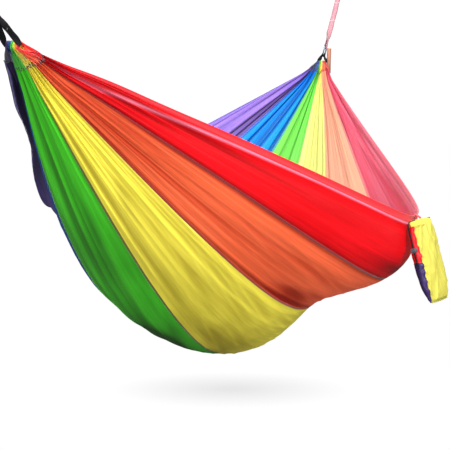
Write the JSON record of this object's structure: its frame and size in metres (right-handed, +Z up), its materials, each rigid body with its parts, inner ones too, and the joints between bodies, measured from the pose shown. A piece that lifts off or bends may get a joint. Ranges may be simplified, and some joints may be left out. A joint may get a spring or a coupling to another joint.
{
  "type": "camping hammock",
  "caption": "Gathered-end striped nylon camping hammock hung between two webbing straps with carabiners, end loops and an attached drawstring stuff sack.",
  "frame": {"origin": "on the ground plane under the middle of the hung hammock's bounding box, at the height of the canopy's lowest point", "axes": "+X along the ridge from the near gathered end to the far gathered end, +Y towards the purple edge (the red edge and the stuff sack are on -Y), +Z up"},
  "size_m": [3.5726, 1.24, 1.2949],
  "materials": {
    "nylon_red": "thin coated nylon, soft sheen",
    "nylon_orange": "thin coated nylon, soft sheen",
    "nylon_yellow": "thin coated nylon, soft sheen",
    "nylon_green": "thin coated nylon, soft sheen",
    "nylon_blue": "thin coated nylon, soft sheen",
    "nylon_purple": "thin coated nylon, soft sheen",
    "nylon_gathered": "bunched, stitched nylon",
    "black_webbing": "woven polyester webbing, matt",
    "strap_webbing": "woven polyester webbing, pale pink-tan",
    "black_cord": "braided cord, matt",
    "dark_steel": "dark blue-black coated steel",
    "bright_steel": "bright steel",
    "black_plastic": "fine-grained moulded plastic"
  },
  "bodies": {
    "anchors": {"anchor_eye_near": "strap_webbing", "anchor_eye_far": "strap_webbing"},
    "canopy": {"panel_yellow": "nylon_yellow", "panel_green": "nylon_green", "end_sleeve_near": "nylon_gathered", "end_sleeve_far": "nylon_gathered", "end_loop_near": "black_webbing", "end_loop_far": "black_webbing", "carabiner_near": "dark_steel", "carabiner_far": "dark_steel", "gate_rivet_near": "bright_steel", "gate_rivet_far": "bright_steel", "strap_back_near": "strap_webbing", "strap_back_far": "strap_webbing", "strap_loops_near": "strap_webbing", "strap_loops_far": "strap_webbing"},
    "near_side": {"panel_red": "nylon_red", "panel_orange": "nylon_orange", "sack_tab": "nylon_red"},
    "far_side": {"panel_purple": "nylon_purple", "panel_blue": "nylon_blue"},
    "gate_arm_near": {"gate_near": "dark_steel", "gate_spring_near": "bright_steel"},
    "gate_arm_far": {"gate_far": "dark_steel", "gate_spring_far": "bright_steel"},
    "tail_near": {"strap_tail_near": "strap_webbing"},
    "tail_far": {"strap_tail_far": "strap_webbing"},
    "sack": {"sack_front": "nylon_yellow", "sack_back_red": "nylon_red", "sack_back_purple": "nylon_purple", "drawcord": "black_cord"},
    "cord_lock": {"cord_lock_barrel": "black_plastic", "cord_lock_spring": "bright_steel"},
    "cord_lock_button": {"cord_lock_plunger": "black_plastic"}
  },
  "joints": [
    {"name": "canopy_swing", "type": "hinge", "parent": "anchors", "child": "canopy", "pos_m": [0.0633, 0.08012, 1.28391], "axis": [1, 0, 0], "range_deg": [-25, 25], "stiffness_Nm_per_rad": 8, "springref_deg": -3.96},
    {"name": "near_side_close", "type": "hinge", "parent": "canopy", "child": "near_side", "pos_m": [0.0633, 0.08012, 0.88108], "axis": [1, 0, 0], "range_deg": [-8, 15], "stiffness_Nm_per_rad": 6, "springref_deg": -8.71},
    {"name": "far_side_close", "type": "hinge", "parent": "canopy", "child": "far_side", "pos_m": [0.0633, 0.08012, 0.88108], "axis": [-1, 0, 0], "range_deg": [-8, 15], "stiffness_Nm_per_rad": 6, "springref_deg": -4.31},
    {"name": "gate_near_open", "type": "hinge", "parent": "canopy", "child": "gate_arm_near", "pos_m": [-1.25418, 0.08012, 0.94902], "axis": [0, -1, 0], "range_deg": [0, 24], "stiffness_Nm_per_rad": 0.05},
    {"name": "gate_far_open", "type": "hinge", "parent": "canopy", "child": "gate_arm_far", "pos_m": [1.34217, 0.08012, 0.92826], "axis": [0, 1, 0], "range_deg": [0, 24], "stiffness_Nm_per_rad": 0.05},
    {"name": "tail_near_swing", "type": "hinge", "parent": "canopy", "child": "tail_near", "pos_m": [-1.28127, 0.09612, 0.95495], "axis": [0, 1, 0], "range_deg": [-30, 30]},
    {"name": "tail_far_swing", "type": "hinge", "parent": "canopy", "child": "tail_far", "pos_m": [1.36817, 0.06412, 0.9379], "axis": [0, 1, 0], "range_deg": [-30, 30]},
    {"name": "sack_swing", "type": "hinge", "parent": "near_side", "child": "sack", "pos_m": [0.0633, -0.53563, 0.42408], "axis": [-1, 0, 0], "range_deg": [-3, 35], "stiffness_Nm_per_rad": 0.1, "springref_deg": 5.33},
    {"name": "cord_lock_slide", "type": "slide", "parent": "sack", "child": "cord_lock", "axis": [0.0667, 0.2674, 0.9613], "range_m": [-0.018, 0.04], "stiffness_N_per_m": 2, "springref_m": 0.0059},
    {"name": "cord_lock_press", "type": "slide", "parent": "cord_lock", "child": "cord_lock_button", "axis": [0.9703, -0.2419, 0], "range_m": [0, 0.003], "stiffness_N_per_m": 100}
  ]
}
